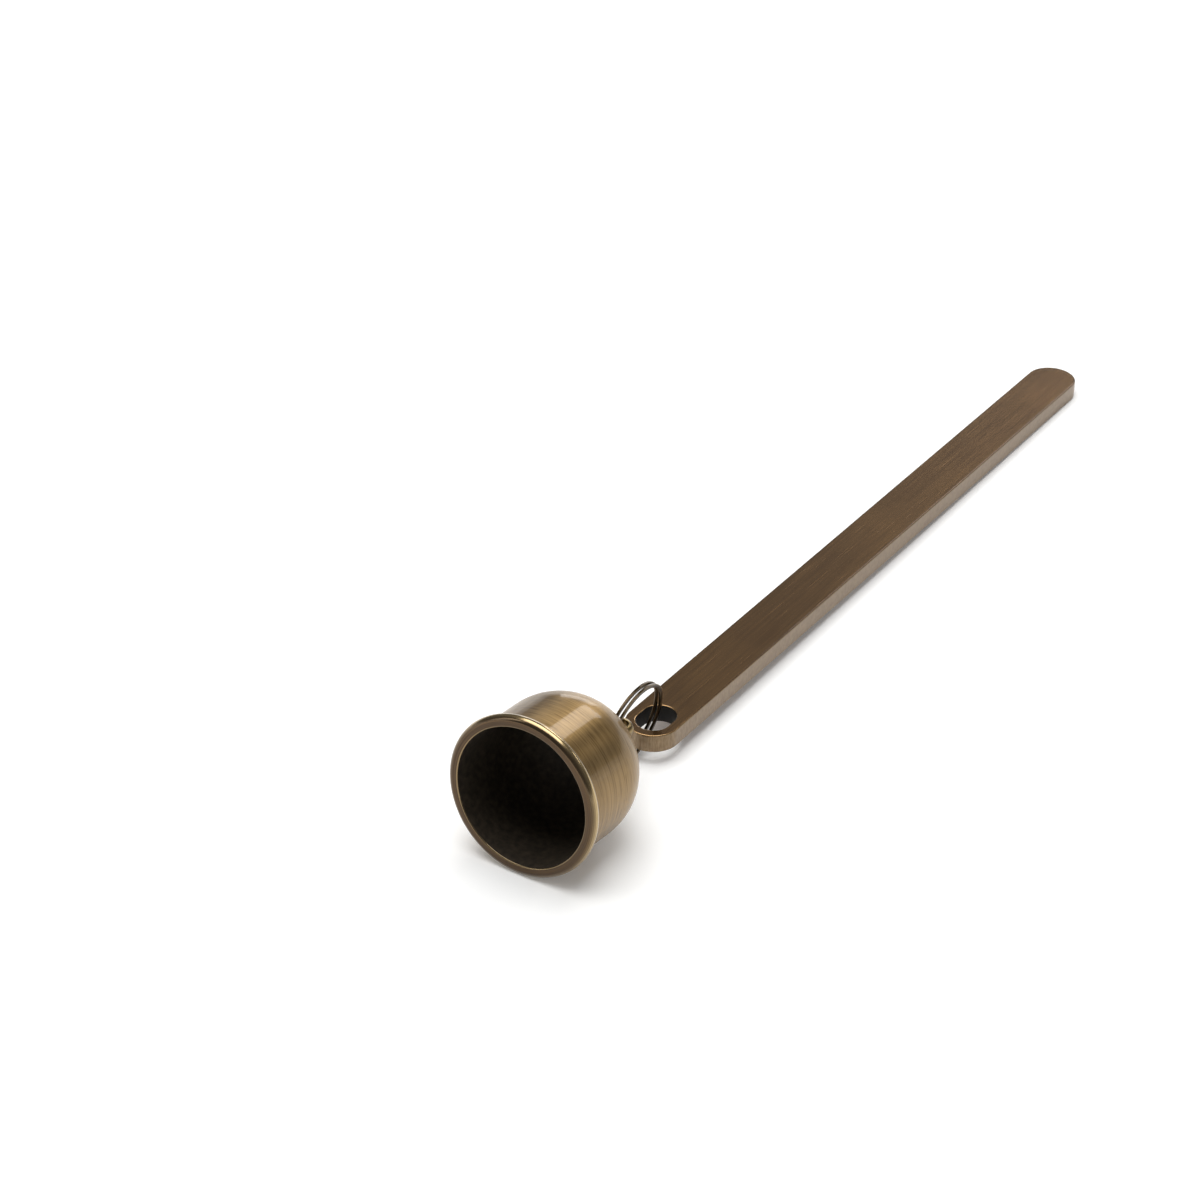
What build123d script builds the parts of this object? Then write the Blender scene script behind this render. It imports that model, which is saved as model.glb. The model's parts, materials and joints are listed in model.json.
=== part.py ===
from build123d import *
import os
from math import acos, asin, atan2, ceil, cos, degrees, hypot, pi, radians, sin, sqrt

# Candle snuffer, lying on a table: a flat bar with a slot near one end, a split ring through
# the slot, and a domed bell held to the ring by a split pin.
# Sizes are in millimetres and turns in degrees. +X runs along the bar, away from the bell,
# and +Z is up. The origin is the middle of the footprint, on the table.

# Handle bar: flat, with round ends and a slot that follows the near end
handle_length = 180.0
handle_width = 11.0
handle_thickness = 3.9
handle_edge = 0.25        # chamfer along every edge
slot_wall = 2.1           # metal round the slot, at the end and at both sides
slot_straight = 2.2       # straight stretch between the slot's round ends

# Bell: a straight skirt, a dome of two arcs and a bead round the mouth
bell_radius = 14.85
bell_wall = 0.75
bell_skirt = 13.5         # mouth to the start of the dome
dome_rise_share = 0.963   # height of the dome, as a share of the bell's radius
dome_side_share = 0.905   # radius of the dome's lower arc, as a share of the bell's
bead_overhang = 1.45      # how far the bead round the mouth stands out of the skirt
bead_height = 2.3
lip_round = 0.3           # rounding of the mouth's inner edge

# Split pin: half-round wire, folded flat side to flat side, with an eye above the bell
pin_wire = 1.2            # radius of the half-round wire
pin_split = 0.2           # gap between the two flats in the shank
pin_fit = 0.05            # running clearance of the shank in the bell
pin_play = 0.2            # shank left free above and below the bell's wall
pin_bend = 1.4            # radius of the flat where the wire bends towards its round side
eye_bend = 1.5            # radius of the flat where the eye's neck bends back
eye_width = 2.9           # inside the eye, between the flats
eye_height = 8.8          # top of the eye above the bell
leg_slope = 16.0          # legs, below the square of the pin's axis
leg_length = 3.6          # straight part of each leg inside the bell

# Split ring: two turns of flat wire, one beside the other
ring_radius = 9.15        # to the middle of the wire
ring_depth = 0.8          # wire, measured outwards from the ring's centre
ring_width = 0.55         # wire, measured along the ring's axis
ring_edge = 0.12          # rounding of the wire's corners
ring_gap = 0.43           # between the two turns
ring_step = 40.0          # part of a turn in which the wire steps from one turn to the next
ring_tip = 6.0            # each tip stops this far short of the step
ring_step_place = 250.0   # where the step lies, turned from the bar's side of the ring

# How the pieces lie at rest
bell_tilt = 6.4           # bell's axis, top down, so that its bead and its shoulder meet the table
ring_lean = 10.0          # ring's plane, off upright
ring_rise = 123.4         # from the bar's wall to the ring's centre, turned up from +X
ring_side = 0.75          # ring's place on the bar's end wall, to one side of the middle
ring_room = 0.64          # left between the ring's inside and the corners of the bar's end wall
ring_beyond = 2.8         # ring's wire, measured out from the top of the bell
eye_turn = 4.0            # eye turned about the pin, off square to the ring's lean

overrun = 1.0             # how far cuts run past what they cut
gap_samples = 720         # points on the ring's wire where its gap to itself is measured

bell_dome = bell_radius * dome_rise_share
bell_height = bell_skirt + bell_dome
side_radius = bell_radius * dome_side_share
side_across = bell_radius - side_radius
# The one radius at which the crown's arc touches the dome's lower arc without a kink.
crown_radius = (bell_dome ** 2 + side_across ** 2 - side_radius ** 2) / (2 * (bell_dome - side_radius))
slot_width = handle_width - 2 * slot_wall
shank_radius = pin_split / 2 + pin_wire
turn_pitch = ring_width + ring_gap
bead_radius = bell_radius + bead_overhang


def handle_bar():
    # The near end's tip is at x = 0 and the underside at z = 0.
    outline = SlotOverall(handle_length, handle_width)
    bar = Pos(handle_length / 2, 0, 0) * extrude(outline, handle_thickness)
    slot = SlotCenterToCenter(slot_straight, slot_width)
    slot_x = handle_width / 2 + slot_straight / 2
    bar -= Pos(slot_x, 0, -overrun) * extrude(slot, handle_thickness + 2 * overrun)
    rims = bar.edges().group_by(Axis.Z)
    return chamfer(rims[0] + rims[-1], handle_edge)


def dome_side(wall):
    # From the skirt to the bell's axis, this far inside the bell's outer face. The lower arc
    # starts square to the mouth and runs smoothly into the crown's flatter arc.
    crown_drop = crown_radius - bell_dome
    meeting_turn = degrees(atan2(crown_drop, side_across))
    side = CenterArc((side_across, bell_skirt), side_radius - wall, 0, meeting_turn)
    crown = CenterArc((0, bell_skirt - crown_drop), crown_radius - wall, meeting_turn, 90 - meeting_turn)
    return Plane.XZ * side, Plane.XZ * crown


def bell_cup():
    # Turned about Z, with the mouth at z = 0 and the top of the dome at z = bell_height.
    bead_round = bead_height / 2
    bead_middle = bead_radius - bead_round
    inner = bell_radius - bell_wall
    side = Polyline((0, 0, 0), (bead_middle, 0, 0))
    bead = Plane.XZ * CenterArc((bead_middle, bead_round), bead_round, -90, 180)
    shoulder = Polyline((bead_middle, 0, bead_height), (bell_radius, 0, bead_height))
    skirt = Line((bell_radius, 0, bead_height), (bell_radius, 0, bell_skirt))
    axis = Line((0, 0, bell_height), (0, 0, 0))
    outside = make_face([side, bead, shoulder, skirt, *dome_side(0), axis])

    mouth = Polyline((0, 0, -overrun), (inner, 0, -overrun), (inner, 0, bell_skirt))
    inner_axis = Line((0, 0, bell_height - bell_wall), (0, 0, -overrun))
    inside = make_face([mouth, *dome_side(bell_wall), inner_axis])

    hole_side = shank_radius + pin_fit
    hole_top = bell_height + overrun
    corners = [(-overrun, 0, 0), (hole_side, 0, 0), (hole_side, 0, hole_top), (-overrun, 0, hole_top)]
    hole = make_face(Polyline(*corners, close=True))
    wall = outside - inside - hole
    lip = wall.vertices().sort_by_distance((inner, 0, 0))[0]
    return revolve(fillet(lip, lip_round), Axis.Z)


def pin_points():
    # Right half of the pin's flat face, as (out from the axis, up from the bell's top).
    flat = pin_split / 2
    shank_low = -bell_wall - pin_play
    turn = radians(90 - leg_slope)
    bend_end = (flat + pin_bend * (1 - cos(turn)), shank_low - pin_bend * sin(turn))
    bend_mid = (flat + pin_bend * (1 - cos(turn / 2)), shank_low - pin_bend * sin(turn / 2))
    tip = (bend_end[0] + leg_length * sin(turn), bend_end[1] - leg_length * cos(turn))

    swell = eye_width / 2 - flat
    neck = acos(1 - swell / (pin_bend + eye_bend))
    neck_mid = (flat + pin_bend * (1 - cos(neck)), pin_play + pin_bend * sin(neck))
    neck_end = (eye_width / 2, pin_play + (pin_bend + eye_bend) * sin(neck))
    eye_side = (eye_width / 2, eye_height - pin_wire - eye_width / 2)
    return tip, bend_end, bend_mid, (flat, shank_low), (flat, pin_play), neck_mid, neck_end, eye_side, neck


def split_pin():
    # The top of the bell is at z = 0 and the eye lies in the XZ plane.
    tip, bend_end, bend_mid, shank_low, shank_top, neck_mid, neck_end, eye_side, neck = pin_points()

    def place(point, side):
        return (side * point[0], 0, point[1])

    def half(side):
        bend = ThreePointArc(place(bend_end, side), place(bend_mid, side), place(shank_low, side))
        neck_out = TangentArc(place(shank_top, side), place(neck_mid, side), tangent=(0, 0, 1))
        slant = (side * sin(neck), 0, cos(neck))
        neck_back = TangentArc(place(neck_mid, side), place(neck_end, side), tangent=slant)
        return [
            Line(place(tip, side), place(bend_end, side)),
            bend,
            Line(place(shank_low, side), place(shank_top, side)),
            neck_out,
            neck_back,
            Line(place(neck_end, side), place(eye_side, side)),
        ]

    top = (0, 0, eye_side[1] + eye_width / 2)
    crown = ThreePointArc(place(eye_side, 1), top, place(eye_side, -1))
    path = Wire([line.edge() for line in half(1) + [crown] + half(-1)])
    heading = Vector(*place(bend_end, 1)) - Vector(*place(tip, 1))
    start = Plane(origin=place(tip, 1), x_dir=heading.rotate(Axis.Y, 90), z_dir=heading)
    rim = CenterArc((0, 0), pin_wire, -90, 180)
    section = start * make_face([rim, Line((0, pin_wire), (0, -pin_wire))])
    return sweep(section, path=path)


def ring_path():
    # Two flat turns, one above the other, about Z. Between them the wire steps up in two equal
    # arcs that meet on the X axis, where the way round is square to that axis.
    half_step = radians(ring_step / 2)
    tip = radians(ring_tip)
    rise = turn_pitch / 2

    def point(turn, height):
        return Vector(ring_radius * cos(turn), ring_radius * sin(turn), height)

    def flat_turn(start, end, height):
        middle = (start + end) / 2
        for first, last in ((start, middle), (middle, end)):
            way = Vector(-sin(first), cos(first), 0)
            yield Edge.make_tangent_arc(point(first, height), way, point(last, height))

    step_start = point(-half_step, -rise)
    across = ring_radius * sin(half_step)
    outwards = (sqrt(across ** 2 + (rise * sin(half_step)) ** 2) - across * cos(half_step)) / sin(half_step)
    meeting = Vector(step_start.X + outwards, 0, 0)
    first_arc = Edge.make_tangent_arc(step_start, Vector(sin(half_step), cos(half_step), 0), meeting)
    second_arc = Edge.make_tangent_arc(meeting, first_arc % 1, point(half_step, rise))
    lower = flat_turn(half_step + tip, 2 * pi - half_step, -rise)
    upper = flat_turn(half_step, 2 * pi - half_step - tip, rise)
    return Wire([*lower, first_arc, second_arc, *upper])


def split_ring():
    # The ring's axis is Z and its centre the origin.
    path = ring_path()
    start = path @ 0
    outwards = Vector(start.X, start.Y, 0)
    plane = Plane(origin=start, x_dir=outwards, z_dir=path % 0)
    section = plane * RectangleRounded(ring_depth, ring_width, ring_edge)
    ring = sweep(section, path=path)
    print("ring: volume over section times length", ring.volume / (section.area * path.length))
    print("ring: least gap between its turns, mm", round(least_gap(path), 3))
    return ring


def least_gap(path):
    # The turns lie side by side, so their gap is the least distance between points on the
    # middle of the wire that are at least a quarter turn apart along it, less the wire's width.
    points = [path @ (i / gap_samples) for i in range(gap_samples + 1)]
    apart = ceil(gap_samples * (2 * pi * ring_radius / 4) / path.length)
    nearest = min(
        (points[j] - points[i]).length
        for i in range(len(points))
        for j in range(i + apart, len(points))
    )
    return nearest - ring_width


# Where each piece lies. The middle of the bar's end wall is at x = 0 until all is centred.
tilt = radians(bell_tilt)
lean = radians(ring_lean)
rise_turn = radians(ring_rise)
ring_reach = ring_radius + ring_depth / 2
wall_corner = hypot(slot_wall / 2, handle_thickness / 2)
ring_swing_radius = ring_radius - ring_depth / 2 - wall_corner - ring_room
ring_half_width = ring_width + ring_gap / 2

shoulder_drop = side_across * cos(tilt) + bell_skirt * sin(tilt) + side_radius
bead_round = bead_height / 2
bead_drop = (bead_radius - bead_round) * cos(tilt) + bead_round * sin(tilt) + bead_round
mouth_height = max(shoulder_drop, bead_drop)
wire_height = mouth_height - (bell_height + ring_beyond) * sin(tilt)
centre_height = ring_reach * cos(lean) + ring_half_width * sin(lean)
eye_rise = asin((wire_height - centre_height) / (ring_radius * cos(lean)))


def in_ring_plane(distance, turn):
    # A step from the ring's centre in its leaning plane, turned up from +X.
    return Vector(distance * cos(turn), -distance * sin(turn) * sin(lean), distance * sin(turn) * cos(lean))


ring_axis = Vector(0, cos(lean), sin(lean))
wall_height = centre_height - ring_swing_radius * sin(rise_turn) * cos(lean)
wall_point = Vector(0, ring_side, wall_height)
ring_centre = wall_point + in_ring_plane(ring_swing_radius, rise_turn)
wire_point = ring_centre + in_ring_plane(ring_radius, pi - eye_rise)
bell_axis = Vector(cos(tilt), 0, -sin(tilt))
bell_top = wire_point - bell_axis * ring_beyond
mouth_point = bell_top - bell_axis * bell_height
bar_slope = asin(wall_height / hypot(handle_length - slot_wall / 2, handle_thickness / 2)) - atan2(
    handle_thickness / 2, handle_length - slot_wall / 2
)

# The bar turns about the middle of its end wall until its far end meets the table.
wall_middle = Pos(-slot_wall / 2, 0, -handle_thickness / 2)
bar_place = Pos(0, 0, wall_height) * Rot(0, degrees(bar_slope), 0) * wall_middle
ring_plane = Plane(origin=ring_centre, x_dir=(1, 0, 0), z_dir=-ring_axis)
ring_place = ring_plane.location * Rot(0, 0, ring_step_place)
eye_side_way = Vector(0, -cos(lean), -sin(lean)).rotate(Axis((0, 0, 0), (1, 0, 0)), -eye_turn)
pin_place = Plane(origin=bell_top, x_dir=eye_side_way, z_dir=bell_axis).location
bell_place = Plane(origin=mouth_point, x_dir=eye_side_way, z_dir=bell_axis).location

pieces = {
    "handle_bar": bar_place * handle_bar(),
    "split_ring": ring_place * split_ring(),
    "split_pin": pin_place * split_pin(),
    "bell_cup": bell_place * bell_cup(),
}

box = Compound(list(pieces.values())).bounding_box()
centring = Vector(-(box.min.X + box.max.X) / 2, -(box.min.Y + box.max.Y) / 2, -box.min.Z)

os.makedirs("parts", exist_ok=True)
for name, piece in pieces.items():
    placed = Pos(*centring) * piece
    placed.label = name
    export_step(placed, "parts/" + name + ".step")
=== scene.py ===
import json
import math

import bpy
import numpy as np
from mathutils import Matrix


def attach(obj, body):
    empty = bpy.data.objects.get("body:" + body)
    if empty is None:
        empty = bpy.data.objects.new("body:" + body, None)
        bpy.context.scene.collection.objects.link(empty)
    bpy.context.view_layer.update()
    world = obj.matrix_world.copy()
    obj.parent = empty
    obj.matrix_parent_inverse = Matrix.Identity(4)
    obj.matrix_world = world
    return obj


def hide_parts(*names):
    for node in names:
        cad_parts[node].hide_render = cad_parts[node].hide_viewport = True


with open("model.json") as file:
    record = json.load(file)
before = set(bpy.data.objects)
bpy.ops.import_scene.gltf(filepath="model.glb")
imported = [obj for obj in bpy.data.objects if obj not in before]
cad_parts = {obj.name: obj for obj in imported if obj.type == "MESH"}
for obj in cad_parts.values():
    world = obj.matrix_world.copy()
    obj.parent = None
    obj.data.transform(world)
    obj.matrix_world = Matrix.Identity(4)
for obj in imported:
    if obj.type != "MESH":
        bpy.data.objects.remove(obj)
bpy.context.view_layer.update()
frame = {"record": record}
mm = 0.001

# Places that the pieces share, in mm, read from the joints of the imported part.
joints = {joint["name"]: joint for joint in frame["record"]["behaviour"]["joints"]}
wallPlace = np.array(joints["ring_swing"]["pos_m"]) / mm    # middle of the bar's end wall
bellTop = np.array(joints["bell_swivel"]["pos_m"]) / mm
bellAxis = np.array(joints["bell_swivel"]["axis"])          # from the mouth to the top


def toLinear(code):
    # sRGB hex to the linear values that a shader takes.
    parts = [int(code[i:i + 2], 16) / 255 for i in (1, 3, 5)]
    return tuple(p / 12.92 if p <= 0.04045 else ((p + 0.055) / 1.055) ** 2.4
                 for p in parts) + (1.0,)


def setNode(node, settings=None, links=None):
    # Attributes and socket values first, then links from (node, output). A colour ramp takes
    # its stops as pairs of (position, colour).
    for key, value in (settings or {}).items():
        if key == "stops":
            for element, (position, code) in zip(node.color_ramp.elements, value):
                element.position, element.color = position, toLinear(code)
        elif isinstance(key, int) or key in node.inputs:
            node.inputs[key].default_value = value
        else:
            setattr(node, key, value)
    for key, (source, output) in (links or {}).items():
        node.id_data.links.new(source.outputs[output], node.inputs[key])
    return node


def addNode(tree, kind, settings=None, links=None):
    return setNode(tree.nodes.new(kind), settings, links)


fromColour, toColour, mixedColour = 6, 7, 2    # a colour Mix node's two inputs and its output


def newMaterial(name):
    made = bpy.data.materials.new(name)
    made.use_nodes = True
    return made, made.node_tree, made.node_tree.nodes["Principled BSDF"]


def gridPiece(name, grid, materials, home, closedRows=False, rowMaterial=None, cornerUv=None,
              marks=None):
    # A surface from a grid of points in mm: rows run along the piece and columns close around
    # it. Open rows get a flat cap at each end. Marks are attributes, one value per point.
    rows, cols = grid.shape[:2]
    index = np.arange(rows * cols).reshape(rows, cols)
    if closedRows:
        index = np.vstack([index, index[:1]])
    index = np.hstack([index, index[:, :1]])
    quads = np.stack([index[:-1, :-1], index[:-1, 1:], index[1:, 1:], index[1:, :-1]], axis=-1)
    faces = quads.reshape(-1, 4).tolist()
    if not closedRows:
        faces += [list(range(cols))[::-1], list(range((rows - 1) * cols, rows * cols))]
    mesh = bpy.data.meshes.new(name)
    mesh.from_pydata((grid.reshape(-1, 3) * mm).tolist(), [], faces)
    smooth = np.ones(len(faces), bool)
    smooth[quads.shape[0] * quads.shape[1]:] = False
    mesh.polygons.foreach_set("use_smooth", smooth)
    for material in materials:
        mesh.materials.append(material)
    if rowMaterial is not None:
        faceMaterial = np.repeat(rowMaterial, cols).astype(np.int32)
        mesh.polygons.foreach_set("material_index", faceMaterial)
    if cornerUv is not None:
        layer = mesh.uv_layers.new(name="surface")
        full = np.zeros((len(mesh.loops), 2))
        full[:cornerUv.size // 2] = cornerUv.reshape(-1, 2)
        layer.data.foreach_set("uv", full.ravel())
    for mark, values in (marks or {}).items():
        if values.ndim == 3:
            layer = mesh.attributes.new(mark, "FLOAT_VECTOR", "POINT")
            layer.data.foreach_set("vector", values.reshape(-1, 3).astype(np.float32).ravel())
        else:
            layer = mesh.attributes.new(mark, "FLOAT", "POINT")
            layer.data.foreach_set("value", values.astype(np.float32).ravel())
    made = bpy.data.objects.new(name, mesh)
    bpy.context.scene.collection.objects.link(made)
    body, node, slot = home
    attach(made, body)
    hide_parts(node)
    # Volume inside the quads: the sum of each one's (area * normal) . middle, over 3. It is
    # positive where they face outwards.
    corners = grid.reshape(-1, 3)[quads.reshape(-1, 4)]
    first = np.cross(corners[:, 1] - corners[:, 0], corners[:, 2] - corners[:, 0])
    second = np.cross(corners[:, 2] - corners[:, 0], corners[:, 3] - corners[:, 0])
    outward = ((first + second) * corners.mean(axis=1)).sum() / 6
    print(name + ":", len(faces), "faces, signed volume mm3", round(float(outward), 1))


def gridUv(along, around):
    # UV of each face's corners: u runs around the piece and v along it.
    v, u = np.meshgrid(along, around, indexing="ij")
    low, high = slice(None, -1), slice(1, None)
    return np.stack([np.stack([u[a, b], v[a, b]], -1) for a, b in
                     ((low, low), (low, high), (high, high), (high, low))], axis=2)


def arcPoints(centre, radius, start, end, count):
    # Points on an arc, as (x, y); angles in degrees.
    turn = np.radians(np.linspace(start, end, count))
    return np.stack([centre[0] + radius * np.cos(turn), centre[1] + radius * np.sin(turn)], -1)


def joined(parts):
    # One run of points from several that share their end points.
    return np.concatenate([parts[0]] + [part[1:] for part in parts[1:]])


def lengthsAlong(points, closed=False):
    # Distance along a run of points, in mm.
    run = np.vstack([points, points[:1]]) if closed else points
    steps = np.linalg.norm(np.diff(run, axis=0), axis=1)
    return np.concatenate([[0.0], np.cumsum(steps)])


def unit(vector):
    vector = np.asarray(vector, float)
    return vector / np.linalg.norm(vector, axis=-1, keepdims=True)


def patternPlace(around, along):
    # A place for patterns on each point of a grid: (x, y) by column and mm along by row.
    rows, cols = len(along), len(around)
    return np.concatenate([np.broadcast_to(around[None], (rows, cols, 2)),
                           np.broadcast_to(along[:, None, None], (rows, cols, 1))], -1)


def fading(distance, reach, left=0.0):
    # From 1 down to what is left far off: left + (1 - left) * exp(-(distance / reach)^2).
    return left + (1 - left) * np.exp(-(distance / reach) ** 2)


brassLook = {
    "bell": "#9E8255", "bellDark": "#745B34",
    # The lip's colours are painted shade: darker than the bell's brass.
    "lip": "#5A442B", "lipDark": "#342617",
    "bare": "#2B251D", "bareWorn": "#4A4033",
    # The bar's dark line colour is painted shade.
    "bar": "#8A683F", "barDark": "#6A4E2F", "shadeLine": "#2E1C10",
    "edge": "#8C775C", "edgeDark": "#5D4A32",
    # The slot wall's near-black colours are painted shade.
    "slot": "#0D0B08", "slotShadePale": "#1F1A14",
    "ring": "#4F3F2A", "ringDark": "#231B12",
    "pin": "#97804F", "pinDark": "#54442A",
    # Rubbed brass; on the bell's bead it is also the colour of a painted highlight.
    "rubbed": "#DEC38F",
}
lacquer = {"Coat Weight": 0.45, "Coat Roughness": 0.09}


def brushLines(tree, place, scale, detail, roughness=0.5, start=(0.0, 0.0, 0.0)):
    # Lines as a brush or a die leaves them: noise drawn out along one axis. The scale is its
    # features to a unit along each axis.
    stretched = addNode(tree, "ShaderNodeMapping", {"Scale": scale, "Location": start},
                        {"Vector": place})
    return addNode(tree, "ShaderNodeTexNoise",
                   {"Scale": 1.0, "Detail": detail, "Roughness": roughness},
                   {"Vector": (stretched, "Vector")})


def wornTone(tree, pattern, span, dark, light, patches):
    # Colour from dark to light as a pattern runs over a span, and rubbed bright, in patches,
    # where the wear mark is high; on the bell's bead that mark is partly a painted highlight.
    tone = addNode(tree, "ShaderNodeValToRGB", {"stops": zip(span, (dark, light))},
                   {"Fac": pattern})
    wearAndHighlight = addNode(tree, "ShaderNodeAttribute", {"attribute_name": "wearAndHighlight"})
    uneven = addNode(tree, "ShaderNodeMath", {"operation": "MULTIPLY"},
                     {0: (wearAndHighlight, "Fac"), 1: patches})
    return addNode(tree, "ShaderNodeMix",
                   {"data_type": "RGBA", toColour: toLinear(brassLook["rubbed"])},
                   {0: (uneven, "Value"), fromColour: (tone, "Color")})


def turnedBrass():
    # Brass sheet, spun on a lathe, brushed while turning, darkened and lacquered: fine rings
    # round the bell, a sheen drawn out along its axis, cloudy brown where it took more colour.
    made, tree, shader = newMaterial("spun brass, brushed, darkened and lacquered")
    place = addNode(tree, "ShaderNodeAttribute", {"attribute_name": "turning"})
    # Rings 0.3 mm apart, coarser than the real brushing so that they show.
    brush = brushLines(tree, (place, "Vector"), (0.03, 0.03, 3.3), 4.0, roughness=0.65)
    # Clouds 9 mm wide.
    inside = addNode(tree, "ShaderNodeTexCoord")
    clouds = addNode(tree, "ShaderNodeTexNoise", {"Scale": 110.0, "Detail": 3.0},
                     {"Vector": (inside, "Object")})
    blend = addNode(tree, "ShaderNodeMath", {"operation": "MULTIPLY_ADD", 1: 0.5},
                    {0: (clouds, "Fac"), 2: (brush, "Fac")})
    # Dark scratches 5 mm long, where the brush dug in.
    dug = brushLines(tree, (place, "Vector"), (0.2, 0.2, 3.6), 2.0, start=(7.0, 3.0, 1.0))
    scratch = addNode(tree, "ShaderNodeMapRange",
                      {"From Min": 0.56, "From Max": 0.72, "To Max": -0.45},
                      {"Value": (dug, "Fac")})
    both = addNode(tree, "ShaderNodeMath", {"operation": "ADD"},
                   {0: (blend, "Value"), 1: (scratch, "Result")})
    tone = wornTone(tree, (both, "Value"), (0.5, 1.0), brassLook["bellDark"], brassLook["bell"],
                    (clouds, "Fac"))
    rough = addNode(tree, "ShaderNodeMapRange",
                    {"From Min": 0.3, "From Max": 0.7, "To Min": 0.38, "To Max": 0.48},
                    {"Value": (brush, "Fac")})
    bump = addNode(tree, "ShaderNodeBump", {"Strength": 0.35, "Distance": 0.00002},
                   {"Height": (brush, "Fac")})
    lie = addNode(tree, "ShaderNodeTangent", {"direction_type": "UV_MAP", "uv_map": "surface"})
    setNode(shader, {"Metallic": 1.0, "Anisotropic": 0.7, "Anisotropic Rotation": 0.25, **lacquer},
            {"Base Color": (tone, mixedColour), "Roughness": (rough, "Result"),
             "Normal": (bump, "Normal"), "Tangent": (lie, "Tangent")})
    return made


def turnedLip():
    # The same brass at the bead and the lip, smoothed on the lathe: finer, with a tighter shine.
    # Its colours are darker than the bell's, as painted shade.
    made, tree, shader = newMaterial("turned brass lip, polished, darkened and lacquered")
    place = addNode(tree, "ShaderNodeAttribute", {"attribute_name": "turning"})
    # Tool marks 0.2 mm apart.
    brush = brushLines(tree, (place, "Vector"), (0.05, 0.05, 5.0), 3.0, roughness=0.6)
    tone = wornTone(tree, (brush, "Fac"), (0.3, 0.75), brassLook["lipDark"], brassLook["lip"],
                    (brush, "Fac"))
    bump = addNode(tree, "ShaderNodeBump", {"Strength": 0.2, "Distance": 0.00002},
                   {"Height": (brush, "Fac")})
    setNode(shader, {"Metallic": 1.0, "Roughness": 0.2, **lacquer},
            {"Base Color": (tone, mixedColour), "Normal": (bump, "Normal")})
    return made


def darkMattBrass(name, dark, worn):
    # Nearly matt, brown-black brass: on the bell's inside, brass left black by the darkening bath
    # and never brushed; on the slot wall, painted shade.
    made, tree, shader = newMaterial(name)
    place = addNode(tree, "ShaderNodeTexCoord")
    # Specks 1.1 mm wide.
    specks = addNode(tree, "ShaderNodeTexNoise", {"Scale": 900.0, "Detail": 5.0},
                     {"Vector": (place, "Object")})
    tone = addNode(tree, "ShaderNodeValToRGB", {"stops": ((0.35, dark), (0.8, worn))},
                   {"Fac": (specks, "Fac")})
    bump = addNode(tree, "ShaderNodeBump", {"Strength": 0.3, "Distance": 0.00003},
                   {"Height": (specks, "Fac")})
    setNode(shader, {"Metallic": 0.4, "Roughness": 0.6},
            {"Base Color": (tone, "Color"), "Normal": (bump, "Normal")})
    return made


def beltBrushedBrass():
    # Brass flat bar, brushed lengthwise on a belt, darkened and lacquered: long fine lines,
    # brown on the broad faces, rubbed brighter around the slot and the near end.
    made, tree, shader = newMaterial("brass bar, belt-brushed, darkened and lacquered")
    place = addNode(tree, "ShaderNodeTexCoord")
    # Lines 0.3 mm apart and about 30 mm long.
    brush = brushLines(tree, (place, "Object"), (30.0, 3300.0, 3300.0), 4.0, roughness=0.6)
    # Clouds 17 mm wide.
    clouds = addNode(tree, "ShaderNodeTexNoise", {"Scale": 60.0, "Detail": 3.0},
                     {"Vector": (place, "Object")})
    blend = addNode(tree, "ShaderNodeMath", {"operation": "MULTIPLY_ADD", 1: 0.6},
                    {0: (clouds, "Fac"), 2: (brush, "Fac")})
    tone = wornTone(tree, (blend, "Value"), (0.5, 1.0), brassLook["barDark"], brassLook["bar"],
                    (clouds, "Fac"))
    # Painted shade: a dark line along the long edges, on the upper rounding of the outline.
    shadeLine = addNode(tree, "ShaderNodeAttribute", {"attribute_name": "shadeLine"})
    lined = addNode(tree, "ShaderNodeMix",
                    {"data_type": "RGBA", toColour: toLinear(brassLook["shadeLine"])},
                    {0: (shadeLine, "Fac"), fromColour: (tone, mixedColour)})
    rough = addNode(tree, "ShaderNodeMapRange",
                    {"From Min": 0.3, "From Max": 0.7, "To Min": 0.24, "To Max": 0.275},
                    {"Value": (brush, "Fac")})
    bump = addNode(tree, "ShaderNodeBump", {"Strength": 0.08, "Distance": 0.00002},
                   {"Height": (brush, "Fac")})
    lie = addNode(tree, "ShaderNodeTangent", {"direction_type": "UV_MAP", "uv_map": "surface"})
    setNode(shader, {"Metallic": 1.0, "Anisotropic": 0.1, "Anisotropic Rotation": 0.25, **lacquer},
            {"Base Color": (lined, mixedColour), "Roughness": (rough, "Result"),
             "Normal": (bump, "Normal"), "Tangent": (lie, "Tangent")})
    return made


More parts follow.
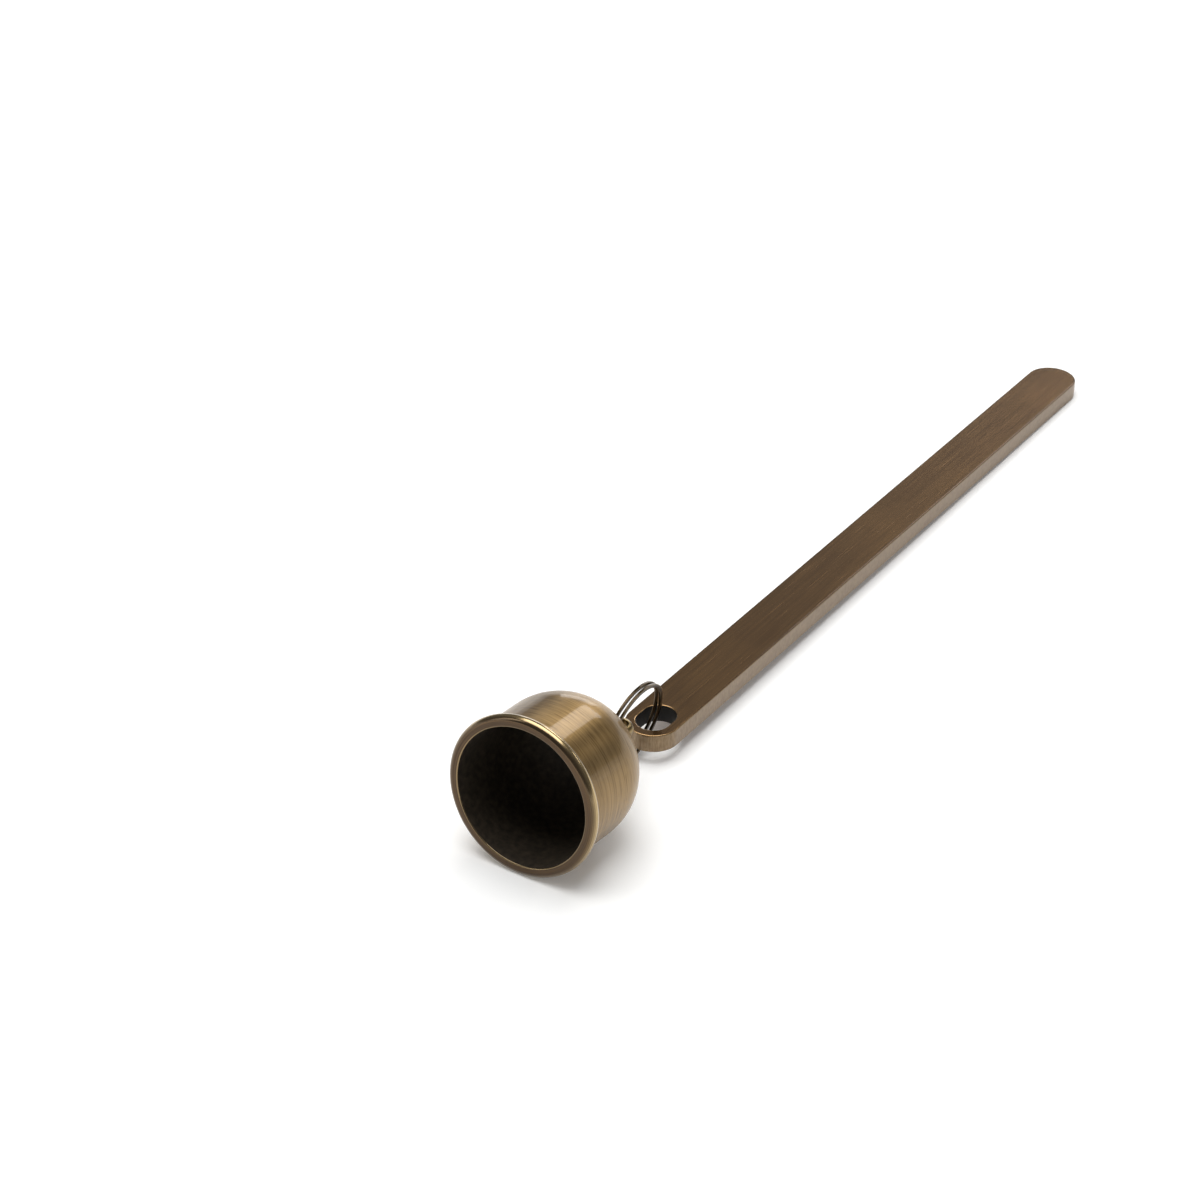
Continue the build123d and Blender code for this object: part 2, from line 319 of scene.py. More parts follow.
def groundEdgeBrass():
    # The bar's narrow sides, ground across on a wheel, most of all near the slot: short upright
    # ridges that fade along the bar into a smooth grey-brown.
    made, tree, shader = newMaterial("brass bar's sides, ground across and darkened")
    place = addNode(tree, "ShaderNodeTexCoord")
    # Ridges 0.2 mm apart and 2 mm long.
    ridges = brushLines(tree, (place, "Object"), (5000.0, 5000.0, 500.0), 3.0, roughness=0.55)
    # Clouds 0.9 mm wide.
    clouds = addNode(tree, "ShaderNodeTexNoise", {"Scale": 1100.0, "Detail": 4.0},
                     {"Vector": (place, "Object")})
    # The mark "ground" brings the ridges in over the noise's middle value.
    ground = addNode(tree, "ShaderNodeAttribute", {"attribute_name": "ground"})
    shown = addNode(tree, "ShaderNodeMapRange", {"To Min": 0.5},
                    {"Value": (ground, "Fac"), "To Max": (ridges, "Fac")})
    blend = addNode(tree, "ShaderNodeMath", {"operation": "MULTIPLY_ADD", 1: 0.4},
                    {0: (clouds, "Fac"), 2: (shown, "Result")})
    tone = wornTone(tree, (blend, "Value"), (0.4, 1.0), brassLook["edgeDark"], brassLook["edge"],
                    (clouds, "Fac"))
    bump = addNode(tree, "ShaderNodeBump", {"Strength": 0.3, "Distance": 0.00003},
                   {"Height": (shown, "Result")})
    lie = addNode(tree, "ShaderNodeTangent", {"direction_type": "UV_MAP", "uv_map": "surface"})
    setNode(shader, {"Metallic": 1.0, "Roughness": 0.36, "Anisotropic": 0.5, **lacquer,
                     "Coat Roughness": 0.12},
            {"Base Color": (tone, mixedColour), "Normal": (bump, "Normal"),
             "Tangent": (lie, "Tangent")})
    return made


def drawnWire(name, dark, light):
    # Brass wire, drawn through a die, darkened: smooth, with faint lines along it, brown in
    # the hollows and rubbed bright on its corners.
    made, tree, shader = newMaterial(name)
    place = addNode(tree, "ShaderNodeAttribute", {"attribute_name": "lay"})
    # Lines 0.15 mm apart and 6 mm long.
    drawn = brushLines(tree, (place, "Vector"), (6.5, 6.5, 0.16), 3.0)
    tone = wornTone(tree, (drawn, "Fac"), (0.3, 0.75), dark, light, (drawn, "Fac"))
    # Where the mark "bath" is high the wire stayed black and dull, as the bell's inside did.
    bath = addNode(tree, "ShaderNodeAttribute", {"attribute_name": "bath"})
    dipped = addNode(tree, "ShaderNodeMix",
                     {"data_type": "RGBA", toColour: toLinear(brassLook["bare"])},
                     {0: (bath, "Fac"), fromColour: (tone, mixedColour)})
    rough = addNode(tree, "ShaderNodeMapRange", {"To Min": 0.28, "To Max": 0.6},
                    {"Value": (bath, "Fac")})
    bump = addNode(tree, "ShaderNodeBump", {"Strength": 0.2, "Distance": 0.00001},
                   {"Height": (drawn, "Fac")})
    setNode(shader, {"Metallic": 1.0, **lacquer, "Coat Weight": 0.2},
            {"Base Color": (dipped, mixedColour), "Roughness": (rough, "Result"),
             "Normal": (bump, "Normal")})
    return made


bell = {
    "radius": 14.85, "wall": 0.75, "skirt": 13.5,
    "domeRise": 0.963, "domeSide": 0.905,    # the dome's height and its lower arc, in radii
    "beadOverhang": 1.45, "beadHeight": 2.3, "lipRound": 0.3, "groove": 0.1, "holeRadius": 1.35,
    "highlightAndWearAt": -5, "highlightAndWearSpread": 36,      # degrees up from level, on the bead: partly wear of its crest, partly a painted highlight
    "lipRubbed": 0.4,                        # the lip's inner edge
    "around": 288,
    "steps": {"dome": 18, "crown": 36, "skirt": 18, "hollow": 6, "ledge": 4, "bead": 25,
              "flat": 6, "innerEdge": 9, "bore": 12},
}


def domeArcs(inset):
    # Two arcs that meet without a kink, from the skirt to the hole, this far inside the outer
    # face: a tighter lower one, and a flatter crown centred on the axis.
    rise, side = bell["radius"] * bell["domeRise"], bell["radius"] * bell["domeSide"]
    across = bell["radius"] - side
    crown = (rise ** 2 + across ** 2 - side ** 2) / (2 * (rise - side))
    meet = math.degrees(math.atan2(crown - rise, across))
    last = math.degrees(math.acos(bell["holeRadius"] / (crown - inset)))
    steps = bell["steps"]
    lower = arcPoints((across, bell["skirt"]), side - inset, 0, meet, steps["dome"])
    upper = arcPoints((0, bell["skirt"] + rise - crown), crown - inset, meet, last,
                      steps["crown"])
    return joined([lower, upper])


def bellProfile():
    # Runs of (radius, height above the mouth) round the wall's section: down the outside,
    # over the bead, across the lip and up the inside.
    radius, skirt, lip, groove = (bell[key] for key in ("radius", "skirt", "lipRound", "groove"))
    steps, top, beadRound = bell["steps"], bell["beadHeight"], bell["beadHeight"] / 2
    beadMiddle = radius + bell["beadOverhang"] - beadRound
    inner = radius - bell["wall"]
    return {
        "outside": domeArcs(0)[::-1],
        "skirt": np.linspace((radius, skirt), (radius, top + groove), steps["skirt"]),
        "hollow": arcPoints((radius + groove, top + groove), groove, 180, 270, steps["hollow"]),
        "ledge": np.linspace((radius + groove, top), (beadMiddle, top), steps["ledge"]),
        "bead": arcPoints((beadMiddle, beadRound), beadRound, 90, -90, steps["bead"]),
        "flat": np.linspace((beadMiddle, 0), (inner + lip, 0), steps["flat"]),
        "innerEdge": arcPoints((inner + lip, lip), lip, -90, -180, steps["innerEdge"]),
        "bore": np.linspace((inner, lip), (inner, skirt), steps["bore"]),
        "inDome": domeArcs(bell["wall"]),
    }


def makeBell():
    # The profile, closed through the wall and turned about the bell's axis: each point goes to
    # mouth + height * axis + radius * (cos, sin).
    runs = bellProfile()
    profile = joined(list(runs.values()))
    rows, cols, radius = len(profile), bell["around"], bell["radius"]
    last = dict(zip(runs, np.cumsum([len(run) - 1 for run in runs.values()])))    # by run
    # Brushed outside, polished from above the bead to the lip's inner edge, black inside.
    rowMaterial = np.zeros(rows, int)
    rowMaterial[last["skirt"] + 2:last["innerEdge"]] = 1
    rowMaterial[last["innerEdge"] - 2:] = 2
    # The bead's band is partly wear of its crest and partly a painted highlight, placed where the
    # bright line runs along it.
    wearAndHighlight = np.zeros(rows)
    beadTurn = np.linspace(90, -90, bell["steps"]["bead"])
    wearAndHighlight[last["ledge"]:last["bead"] + 1] = fading(beadTurn - bell["highlightAndWearAt"],
                                                  bell["highlightAndWearSpread"])
    edgeTurn = np.linspace(0, np.pi, bell["steps"]["innerEdge"])
    wearAndHighlight[last["flat"]:last["innerEdge"] + 1] = bell["lipRubbed"] * np.sin(edgeTurn) ** 0.5

    mouth = bellTop - bellAxis * (bell["skirt"] + radius * bell["domeRise"])
    side = unit(np.cross(bellAxis, (0.0, 1.0, 0.0)))
    other = np.cross(side, bellAxis)
    turn = np.linspace(0, 2 * np.pi, cols, endpoint=False)
    ring = np.cos(turn)[:, None] * side + np.sin(turn)[:, None] * other
    grid = mouth + profile[:, 1, None, None] * bellAxis + profile[:, 0, None, None] * ring[None]

    # Patterns read a circle of one radius, so that rings keep their spacing up the dome.
    along = lengthsAlong(profile, closed=True)
    turning = patternPlace(arcPoints((0, 0), radius, 0, 360, cols + 1)[:-1], along[:-1])
    inside = darkMattBrass("brass inside of the bell, blackened in a bath",
                            brassLook["bare"], brassLook["bareWorn"])
    gridPiece("bellShell", grid, [turnedBrass(), turnedLip(), inside],
              ("bell", "bell_cup", "bell_brass"), closedRows=True, rowMaterial=rowMaterial,
              cornerUv=gridUv(along, np.linspace(0, 2 * np.pi * radius, cols + 1)),
              marks={"turning": turning, "wearAndHighlight": np.repeat(wearAndHighlight[:, None], cols, 1)})


bar = {
    "length": 180.0, "width": 11.0, "thick": 3.9, "wall": 2.1, "slotStraight": 2.2,
    "edge": 0.3,            # rounding of every edge, near the chamfer of the solid
    "hold": 0.06,           # from a rounding to the point on the flat that holds its shading
    "sideStep": 0.75,       # the ring's joint lies this far to one side of the bar's middle line
    "groundReach": 38.0,    # how far the ridges on the sides reach along the bar
    "groundLeft": 0.15,     # and what is left of them at the far end
    "rubbedReach": 11.0,    # how far the rubbed edges of the near end reach
    "rubbedLeft": 0.3,      # and what is left of them beyond
    "rubbed": 0.25,
    "shadeLine": (0.8, 0.8, 0.64, 0.32),    # painted shade: the dark line, on the first points of the upper rounding
    "roundSteps": 40, "straightSteps": 30, "edgeSteps": 7,
}


def barLoops():
    # Slot and outline as two loops with the same number of points, from (x, y) around the near
    # end, along one side, around the far end and back. Both near rounds share one centre, so
    # they are given as centres and turns, and a radius makes either loop.
    near, far = bar["width"] / 2, bar["length"] - bar["width"] / 2
    slotFar = near + bar["slotStraight"]
    nearTurn = np.radians(np.linspace(90, 270, bar["roundSteps"], endpoint=False))
    farTurn = np.radians(np.linspace(-90, 90, bar["roundSteps"], endpoint=False))
    share = np.arange(bar["straightSteps"]) / bar["straightSteps"]
    turn = np.concatenate([nearTurn, np.full(len(share), np.radians(270)),
                           farTurn, np.full(len(share), np.radians(90))])
    reach = np.concatenate([np.zeros(len(nearTurn)), share, np.ones(len(farTurn)), 1 - share])
    facing = np.stack([np.cos(turn), np.sin(turn)], -1)
    zero = np.zeros(len(turn))
    outlineMiddle = np.stack([near + (far - near) * reach, zero], -1)
    slotMiddle = np.stack([near + (slotFar - near) * reach, zero], -1)
    return facing, outlineMiddle, slotMiddle


def barSection():
    # Section of the metal between slot and outline, as (radius, height), from the slot's upper
    # edge outwards: quarter rounds, and points between them that hold their shading. Each run
    # is (points, on the outline, rubbed).
    outer, inner = bar["width"] / 2, bar["width"] / 2 - bar["wall"]
    edge, thick, steps = bar["edge"], bar["thick"], bar["edgeSteps"]
    held = edge + bar["hold"]
    slotTop = arcPoints((inner + edge, thick - edge), edge, 180, 90, steps)
    outTop = arcPoints((outer - edge, thick - edge), edge, 90, 0, steps)
    outLow = arcPoints((outer - edge, edge), edge, 0, -90, steps)
    slotLow = arcPoints((inner + edge, edge), edge, -90, -180, steps)
    runs = [
        (slotTop, 0, True),
        ([(inner + held, thick)], 0, False), ([(outer - held, thick)], 1, False),
        (outTop, 1, True),
        ([(outer, thick - held), (outer, thick / 2), (outer, held)], 1, False),
        (outLow, 1, True),
        ([(outer - held, 0)], 1, False), ([(inner + held, 0)], 0, False),
        (slotLow, 0, True),
        ([(inner, held), (inner, thick - held)], 0, False),
    ]
    section = np.concatenate([np.asarray(points, float) for points, _, _ in runs])
    onOutline = np.concatenate([np.full(len(points), which) for points, which, _ in runs])
    roundRubbed = bar["rubbed"] * np.sin(np.linspace(0, np.pi, steps))
    rubbed = np.concatenate([roundRubbed if worn else np.zeros(len(points))
                             for points, _, worn in runs])
    dark = np.zeros(len(section))
    shadeLineStart = len(slotTop) + 2
    dark[shadeLineStart:shadeLineStart + len(bar["shadeLine"])] = bar["shadeLine"]
    return section, onOutline, rubbed, dark


def barUv(local, heights, outlineRun, upright):
    # Sides take u along the outline and v upwards, broad faces take u = x and v = y.
    row, col = np.arange(local.shape[0]), np.arange(local.shape[1])
    nextRow, nextCol = np.roll(row, -1), np.roll(col, -1)
    start, end = outlineRun[:-1], outlineRun[1:]
    wide = [local[np.ix_(a, b)][..., :2] for a, b in
            ((row, col), (row, nextCol), (nextRow, nextCol), (nextRow, col))]
    tall = [np.stack(np.broadcast_arrays(run[None, :], heights[a][:, None]), -1) for run, a in
            ((start, row), (end, row), (end, nextRow), (start, nextRow))]
    return np.stack([np.where(upright[:, None, None], t, w) for t, w in zip(tall, wide)], axis=2)


def makeBar():
    # The section, carried once around both loops: each point is a middle line's point +
    # radius * facing, at a height.
    facing, outlineMiddle, slotMiddle = barLoops()
    section, onOutline, rubbed, dark = barSection()
    middle = np.where(onOutline[:, None, None] == 1, outlineMiddle[None], slotMiddle[None])
    flat = middle + section[:, 0, None, None] * facing[None]
    rows, cols = flat.shape[:2]
    local = np.concatenate([flat, np.broadcast_to(section[:, 1, None, None], (rows, cols, 1))], -1)
    # Columns are turned round, so that the faces point outwards.
    local = local[:, ::-1]

    # The bar turns about the middle of its end wall until its far end meets the table.
    wallMiddle, halfThick = bar["wall"] / 2, bar["thick"] / 2
    beyond = bar["length"] - wallMiddle
    slope = math.asin(wallPlace[2] / math.hypot(beyond, halfThick)) - math.atan2(halfThick, beyond)
    x, y, z = local[..., 0] - wallMiddle, local[..., 1], local[..., 2] - halfThick
    grid = np.stack([wallPlace[0] + x * math.cos(slope) + z * math.sin(slope),
                     wallPlace[1] - bar["sideStep"] + y,
                     wallPlace[2] - x * math.sin(slope) + z * math.cos(slope)], -1)

    # A row's faces are a side where it rises more than it runs, on one loop.
    outlineRun = lengthsAlong((outlineMiddle + bar["width"] / 2 * facing)[::-1], closed=True)
    run, rise = np.abs(np.diff(section, axis=0, append=section[:1])).T
    upright = (rise > run + 0.001) & (onOutline == np.roll(onOutline, -1))
    # Rubbed bright around the slot and the near end, and a painted shade line from there on.
    near = local[..., 0]
    wearAndHighlight = rubbed[:, None] * fading(near, bar["rubbedReach"], bar["rubbedLeft"])
    shadeLine = dark[:, None] * (1 - fading(near, bar["rubbedReach"]))
    # Painted shade: the slot wall is coloured near-black.
    slotWall = darkMattBrass("brass slot wall, punched, painted near-black as shade",
                              brassLook["slot"], brassLook["slotShadePale"])
    gridPiece("flatBar", grid, [beltBrushedBrass(), groundEdgeBrass(), slotWall],
              ("handle", "handle_bar", "bar_brass"), closedRows=True,
              rowMaterial=upright * (2 - onOutline.astype(int)),
              cornerUv=barUv(local, section[:, 1], outlineRun, upright),
              marks={"wearAndHighlight": wearAndHighlight, "shadeLine": shadeLine,
                     "ground": fading(near, bar["groundReach"], bar["groundLeft"])})


splitRing = {
    "radius": 9.15, "depth": 0.8, "width": 0.55, "corner": 0.12, "gap": 0.43,
    "step": 40.0, "tip": 6.0,                         # degrees
    "stepPlace": 250.0, "lean": 10.0, "rise": 123.4,  # degrees
    "room": 0.64,                                     # from the bar's corner to the wire
    "rubbed": 0.4,
    "turnSteps": 150, "stepSteps": 14, "cornerSteps": 5,
}


def bentArc(start, way, end, count):
    # Points of the arc that leaves a point in a direction and ends at another point: with a the
    # angle from the direction to the chord, its radius is chord / (2 sin a) and it turns by 2 a.
    chord = end - start
    away = chord - way * (chord @ way)
    angle = math.atan2(np.linalg.norm(away), chord @ way)
    radius = np.linalg.norm(chord) / (2 * math.sin(angle))
    side = unit(away)
    turn = np.linspace(0, 2 * angle, count)[:, None]
    return start + side * radius * (1 - np.cos(turn)) + way * radius * np.sin(turn)


def roundedRectangle(depth, width, corner, steps):
    # Loop of (outwards, along the axis), with quarter rounds and flats, from the outer side,
    # and how much each point stands out to be rubbed.
    halfDepth, halfWidth = depth / 2 - corner, width / 2 - corner
    quarters = [arcPoints((halfDepth * sx, halfWidth * sy), corner, first, first + 90, steps)
                for sx, sy, first in ((1, 1, 0), (-1, 1, 90), (-1, -1, 180), (1, -1, 270))]
    return np.concatenate(quarters), np.tile(np.sin(np.linspace(0, np.pi, steps)), 4)


def ringPath():
    # Two flat turns, one beside the other, joined by a step of two equal arcs.
    radius, rise = splitRing["radius"], (splitRing["width"] + splitRing["gap"]) / 2
    halfStep, tip = math.radians(splitRing["step"] / 2), math.radians(splitRing["tip"])

    def flatTurn(start, end, height):
        turn = np.linspace(start, end, splitRing["turnSteps"])
        return np.stack([radius * np.cos(turn), radius * np.sin(turn),
                         np.full(len(turn), height)], -1)

    lower = flatTurn(halfStep + tip, 2 * math.pi - halfStep, -rise)
    upper = flatTurn(halfStep, 2 * math.pi - halfStep - tip, rise)
    across = radius * math.sin(halfStep)
    out = (math.sqrt(across ** 2 + (rise * math.sin(halfStep)) ** 2)
           - across * math.cos(halfStep)) / math.sin(halfStep)
    meeting = np.array([lower[-1, 0] + out, 0.0, 0.0])
    way = np.array([math.sin(halfStep), math.cos(halfStep), 0.0])
    chordWay = unit(meeting - lower[-1])
    leaving = 2 * (way @ chordWay) * chordWay - way
    return joined([lower, bentArc(lower[-1], way, meeting, splitRing["stepSteps"]),
                   bentArc(meeting, leaving, upper[0], splitRing["stepSteps"]), upper])


def makeRing():
    # A rounded rectangle, carried along the path: point + out * outwards + across * sideways.
    path = ringPath()
    ahead = unit(np.gradient(path, axis=0))
    outwards = unit(path * (1, 1, 0))
    outwards = unit(outwards - ahead * (outwards * ahead).sum(-1, keepdims=True))
    sideways = np.cross(ahead, outwards)
    loop, rubbed = roundedRectangle(splitRing["depth"], splitRing["width"], splitRing["corner"],
                                    splitRing["cornerSteps"])
    coil = (path[:, None] + loop[None, :, :1] * outwards[:, None]
            + loop[None, :, 1:] * sideways[:, None])

    # The coil turns in its own plane, leans, and takes its place round the bar's end wall.
    lean, riseTurn, place = (math.radians(splitRing[key]) for key in ("lean", "rise", "stepPlace"))
    corner = math.hypot(bar["wall"] / 2, bar["thick"] / 2)
    swing = splitRing["radius"] - splitRing["depth"] / 2 - corner - splitRing["room"]
    centre = wallPlace + swing * np.array([math.cos(riseTurn),
                                           -math.sin(riseTurn) * math.sin(lean),
                                           math.sin(riseTurn) * math.cos(lean)])
    turned = np.stack([coil[..., 0] * math.cos(place) - coil[..., 1] * math.sin(place),
                       coil[..., 0] * math.sin(place) + coil[..., 1] * math.cos(place),
                       coil[..., 2]], -1)
    axes = np.array([(1, 0, 0), (0, -math.sin(lean), math.cos(lean)),
                     (0, -math.cos(lean), -math.sin(lean))])
    grid = centre + turned @ axes
    rows, cols = grid.shape[:2]
    wire = drawnWire("flat brass wire, drawn, coiled and darkened",
                     brassLook["ringDark"], brassLook["ring"])
    gridPiece("coiledRing", grid, [wire], ("ring", "split_ring", "ring_wire"),
              marks={"lay": patternPlace(loop, lengthsAlong(path)),
                     "wearAndHighlight": np.repeat(splitRing["rubbed"] * rubbed[None], rows, 0),
                     "bath": np.zeros((rows, cols))})


pin = {
    "wire": 1.2, "split": 0.2, "play": 0.2, "bend": 1.4,
    "eyeBend": 1.5, "eyeWidth": 2.9, "eyeHeight": 8.8,
    "eyeTurn": 4.0, "legSlope": 16.0,    # degrees
    "legLength": 3.6, "edge": 0.1,
    "hold": 0.05,                        # from a corner to the point that holds its shading
    "roundRubbed": 0.25, "cornerRubbed": 0.8,
    "roundSteps": 25, "cornerSteps": 6, "flatSteps": 7,
    "steps": {"leg": 8, "legArc": 14, "shank": 4, "neck": 10, "side": 6, "crown": 33},
}


def pinPath():
    # Half-round wire folded double: the path of its flat in the plane of the eye, as (out from
    # the axis, up from the bell's top), up one leg, over the eye and down the other.
    flat, low = pin["split"] / 2, -bell["wall"] - pin["play"]
    play, bend, eyeBend, halfEye = pin["play"], pin["bend"], pin["eyeBend"], pin["eyeWidth"] / 2
    steps, opening = pin["steps"], 90 - pin["legSlope"]
    legArc = arcPoints((flat + bend, low), bend, 180 + opening, 180, steps["legArc"])
    legWay = np.array([math.sin(math.radians(opening)), -math.cos(math.radians(opening))])
    leg = np.linspace(legArc[0] + pin["legLength"] * legWay, legArc[0], steps["leg"])
    shank = np.linspace((flat, low), (flat, play), steps["shank"])
    neck = math.degrees(math.acos(1 - (halfEye - flat) / (bend + eyeBend)))
    neckOut = arcPoints((flat + bend, play), bend, 180, 180 - neck, steps["neck"])
    neckTop = play + (bend + eyeBend) * math.sin(math.radians(neck))
    neckBack = arcPoints((halfEye - eyeBend, neckTop), eyeBend, -neck, 0, steps["neck"])
    eyeSide = pin["eyeHeight"] - pin["wire"] - halfEye
    side = np.linspace((halfEye, neckTop), (halfEye, eyeSide), steps["side"])
    crown = arcPoints((0, eyeSide), halfEye, 0, 180, steps["crown"])
    right = joined([leg, legArc, shank, neckOut, neckBack, side])
    return joined([right, crown, (right * (-1, 1))[::-1]])


def pinSection():
    # Half disc as (outwards, across), its two corners rounded and each held by a close point,
    # and how much each point is rubbed.
    wire, edge = pin["wire"], pin["edge"]
    lift = math.asin(edge / (wire - edge))
    cornerAcross = (wire - edge) * math.cos(lift)
    flatEnd, arcEnd = cornerAcross - pin["hold"], 90 - math.degrees(lift)
    arc = arcPoints((0, 0), wire, -arcEnd, arcEnd, pin["roundSteps"])
    upperCorner = arcPoints((edge, cornerAcross), edge, arcEnd, 180, pin["cornerSteps"])
    lowerCorner = upperCorner[::-1] * (1, -1)
    flatLine = np.linspace((0, flatEnd), (0, -flatEnd), pin["flatSteps"])
    section = np.concatenate([arc, upperCorner[1:], flatLine, lowerCorner[:-1]])
    # The round is rubbed as cos^2, from nearly nothing at its ends to the most at its top.
    roundRubbed = pin["roundRubbed"] * np.cos(np.linspace(-1.5, 1.5, len(arc))) ** 2
    cornerRubbed = np.full(len(upperCorner) - 1, pin["cornerRubbed"])
    return section, np.concatenate([roundRubbed, cornerRubbed, np.zeros(len(flatLine)),
                                    cornerRubbed])


def makePin():
    # The half disc, carried along the path on its outer side.
    path = pinPath()
    section, rubbed = pinSection()
    ahead = unit(np.gradient(path, axis=0))
    outwards = np.stack([ahead[:, 1], -ahead[:, 0]], -1)

    # The eye's plane stands across the ring's wire, and is turned back a little.
    lean, back = math.radians(splitRing["lean"]), math.radians(-pin["eyeTurn"])
    y, z = -math.cos(lean), -math.sin(lean)
    wide = np.array([0, y * math.cos(back) - z * math.sin(back),
                     y * math.sin(back) + z * math.cos(back)])
    wide = unit(wide - bellAxis * (wide @ bellAxis))
    across = np.cross(bellAxis, wide)
    inPlane = path[:, None] + section[None, :, :1] * outwards[:, None]
    grid = (bellTop + inPlane[..., :1] * wide + inPlane[..., 1:] * bellAxis
            + np.broadcast_to(section[None, :, 1:], inPlane[..., :1].shape) * across)
    # Black from the bell's wall inwards.
    bath = np.clip(-path[:, 1] / bell["wall"], 0, 1)[:, None]
    wire = drawnWire("half-round brass wire, drawn, folded and darkened",
                     brassLook["pinDark"], brassLook["pin"])
    gridPiece("foldedPin", grid, [wire], ("pin", "split_pin", "pin_wire"),
              marks={"lay": patternPlace(section, lengthsAlong(path)),
                     "wearAndHighlight": (1 - bath) * rubbed[None],
                     "bath": np.repeat(bath, len(section), 1)})


makeBell()
makeBar()
makeRing()
makePin()

stageLook = {
    "table": "#F7F7F6", "tableSize": 8.0, "room": 0.23,
    "nearGlow": 0.1, "farGlow": 0.95,     # the table's own light, near the part and far off
    "glowFrom": 0.16, "glowTo": 0.75,     # metres from the middle
    "backdropTop": 0.1,                   # sine of the angle above level
}


def makeTable():
    # Matt white card. Seen directly or in the metal it also glows a little, more with distance,
    # so that it stays white away from the lamps while it keeps the shadows close to the part.
    mesh = bpy.data.meshes.new("table")
    half = stageLook["tableSize"] / 2
    mesh.from_pydata([(-half, -half, 0), (half, -half, 0), (half, half, 0), (-half, half, 0)],
                     [], [(0, 1, 2, 3)])
    table = bpy.data.objects.new("table", mesh)
    bpy.context.scene.collection.objects.link(table)
    card, tree, shader = newMaterial("matt white card")
    setNode(shader, {"Base Color": toLinear(stageLook["table"]), "Roughness": 0.9,
                     "Specular IOR Level": 0.1})
    place = addNode(tree, "ShaderNodeTexCoord")
    away = addNode(tree, "ShaderNodeVectorMath", {"operation": "LENGTH"}, {0: (place, "Object")})
    glow = addNode(tree, "ShaderNodeMapRange",
                   {"interpolation_type": "SMOOTHSTEP",
                    "From Min": stageLook["glowFrom"], "From Max": stageLook["glowTo"],
                    "To Min": stageLook["nearGlow"], "To Max": stageLook["farGlow"]},
                   {"Value": (away, "Value")})
    ray = addNode(tree, "ShaderNodeLightPath")
    mirrored = addNode(tree, "ShaderNodeMath", {"operation": "MAXIMUM"},
                       {0: (ray, "Is Glossy Ray"), 1: (ray, "Is Transmission Ray")})
    seen = addNode(tree, "ShaderNodeMath", {"operation": "MAXIMUM"},
                   {0: (ray, "Is Camera Ray"), 1: (mirrored, "Value")})
    strength = addNode(tree, "ShaderNodeMath", {"operation": "MULTIPLY"},
                       {0: (seen, "Value"), 1: (glow, "Result")})
    white = addNode(tree, "ShaderNodeEmission", {"Color": (1, 1, 1, 1)},
                    {"Strength": (strength, "Value")})
    both = addNode(tree, "ShaderNodeAddShader", links={0: (shader, "BSDF"), 1: (white, "Emission")})
    setNode(tree.nodes["Material Output"], links={"Surface": (both, "Shader")})
    mesh.materials.append(card)


# Soft rectangular lamps: metres and watts.
lamps = {
    "overhead softbox": {"place": (0.0, 0.14, 1.15), "target": (0, 0, 0),
                         "size": (1.1, 1.1), "power": 15.0},
    "left strip": {"place": (-0.9, 0.9, 0.6), "target": (0, 0, 0.02),
                   "size": (0.3, 0.9), "power": 2.0},
    "rear softbox": {"place": (0.72, 0.06, 0.5), "target": (-0.05, 0, 0.02),
                     "size": (0.3, 0.26), "power": 1.25},
    # Draws the bright line on the bead.
    "bead light": {"place": (0.68, -0.7, 0.72), "target": (-0.09, 0, 0.02),
                   "size": (0.45, 0.1), "power": 0.7},
    "low rear softbox": {"place": (1.15, 0.54, 0.22), "target": (-0.05, 0, 0.02),
                         "size": (0.5, 0.3), "power": 1.5},
}


def makeLamp(name, look):
    lamp = bpy.data.lights.new(name, "AREA")
    lamp.shape = "RECTANGLE"
    lamp.size, lamp.size_y = look["size"]
    lamp.energy = look["power"]
    made = bpy.data.objects.new(name, lamp)
    bpy.context.scene.collection.objects.link(made)
    made.location = look["place"]
    aim = np.array(look["target"]) - np.array(look["place"])
    yaw = math.atan2(aim[1], aim[0])
    down = math.atan2(-aim[2], math.hypot(aim[0], aim[1]))
    made.rotation_euler = (math.pi / 2 - down, 0, yaw - math.pi / 2)


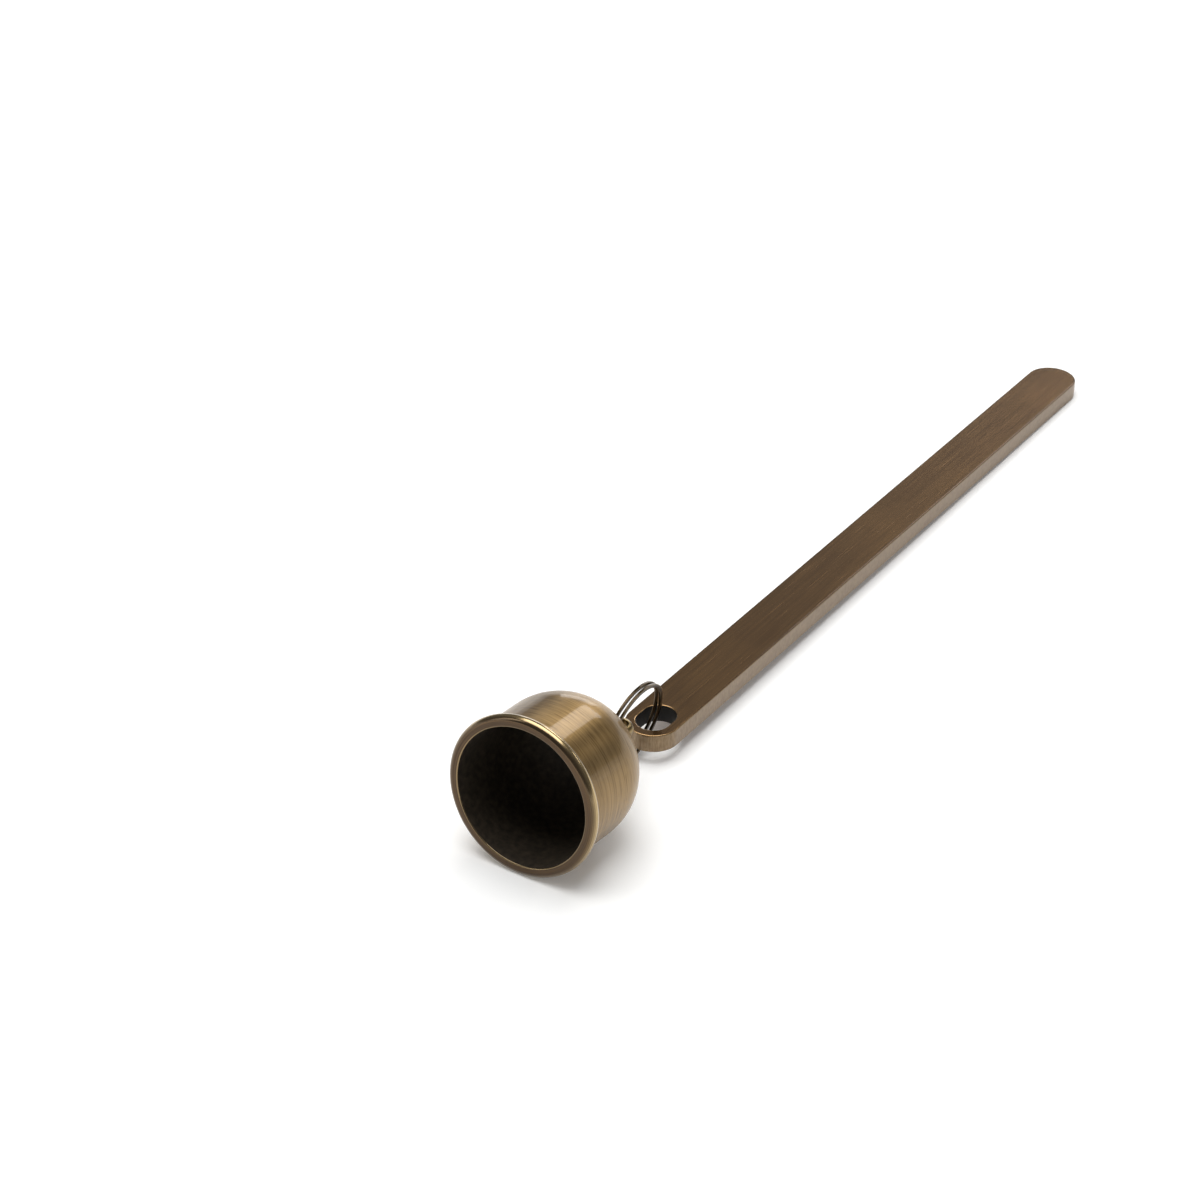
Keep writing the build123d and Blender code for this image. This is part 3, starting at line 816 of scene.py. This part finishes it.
def makeWorld():
    # A white backdrop where the camera looks past the table. The metal mirrors it up to a low
    # height, the backdrop's top, and a plain grey room above that.
    world = bpy.data.worlds.new("studio")
    bpy.context.scene.world = world
    world.use_nodes = True
    tree = world.node_tree
    room = setNode(tree.nodes["Background"],
                   {"Color": (1, 1, 1, 1), "Strength": stageLook["room"]})
    white = addNode(tree, "ShaderNodeBackground", {"Color": (1, 1, 1, 1), "Strength": 1.0})
    ray = addNode(tree, "ShaderNodeLightPath")
    way = addNode(tree, "ShaderNodeTexCoord")
    height = addNode(tree, "ShaderNodeSeparateXYZ", links={0: (way, "Generated")})
    low = addNode(tree, "ShaderNodeMath",
                  {"operation": "LESS_THAN", 1: stageLook["backdropTop"]}, {0: (height, "Z")})
    mirrored = addNode(tree, "ShaderNodeMath", {"operation": "MAXIMUM"},
                       {0: (ray, "Is Glossy Ray"), 1: (ray, "Is Transmission Ray")})
    lowMirrored = addNode(tree, "ShaderNodeMath", {"operation": "MULTIPLY"},
                          {0: (mirrored, "Value"), 1: (low, "Value")})
    seen = addNode(tree, "ShaderNodeMath", {"operation": "MAXIMUM"},
                   {0: (ray, "Is Camera Ray"), 1: (lowMirrored, "Value")})
    mix = addNode(tree, "ShaderNodeMixShader",
                  links={0: (seen, "Value"), 1: (room, "Background"), 2: (white, "Background")})
    setNode(tree.nodes["World Output"], links={"Surface": (mix, "Shader")})


cameraLook = {
    "place": (-534.08, -293.2, 394.05),                # mm
    "yaw": 33.0518, "down": 32.9516, "roll": 0.5457,   # degrees
    "focal": 3483.55, "imageSide": 1200,               # pixels of the photo
    "sensor": 36.0,                                    # mm
    "nearest": 0.01, "farthest": 20,                   # metres
}


def makeCamera():
    # Aimed by yaw from +X and by degrees below level, then rolled about its own line of sight.
    data = bpy.data.cameras.new("photo view")
    data.lens = cameraLook["focal"] / cameraLook["imageSide"] * cameraLook["sensor"]
    data.sensor_width = cameraLook["sensor"]
    data.clip_start, data.clip_end = cameraLook["nearest"], cameraLook["farthest"]
    made = bpy.data.objects.new("photo view", data)
    bpy.context.scene.collection.objects.link(made)
    yaw, down, roll = (math.radians(cameraLook[key]) for key in ("yaw", "down", "roll"))
    forward = np.array([math.cos(yaw) * math.cos(down), math.sin(yaw) * math.cos(down),
                        -math.sin(down)])
    right = unit(np.cross(forward, (0, 0, 1)))
    up = np.cross(right, forward)
    matrix = np.eye(4)
    matrix[:3, 0] = math.cos(roll) * right + math.sin(roll) * up
    matrix[:3, 1] = -math.sin(roll) * right + math.cos(roll) * up
    matrix[:3, 2] = -forward
    matrix[:3, 3] = np.array(cameraLook["place"]) * mm
    made.matrix_world = Matrix(matrix.tolist())
    bpy.context.scene.camera = made


makeTable()
for lampName, lampLook in lamps.items():
    makeLamp(lampName, lampLook)
makeWorld()
makeCamera()
bpy.context.scene.view_settings.view_transform = "Standard"
print("stage: table, lamps, camera")
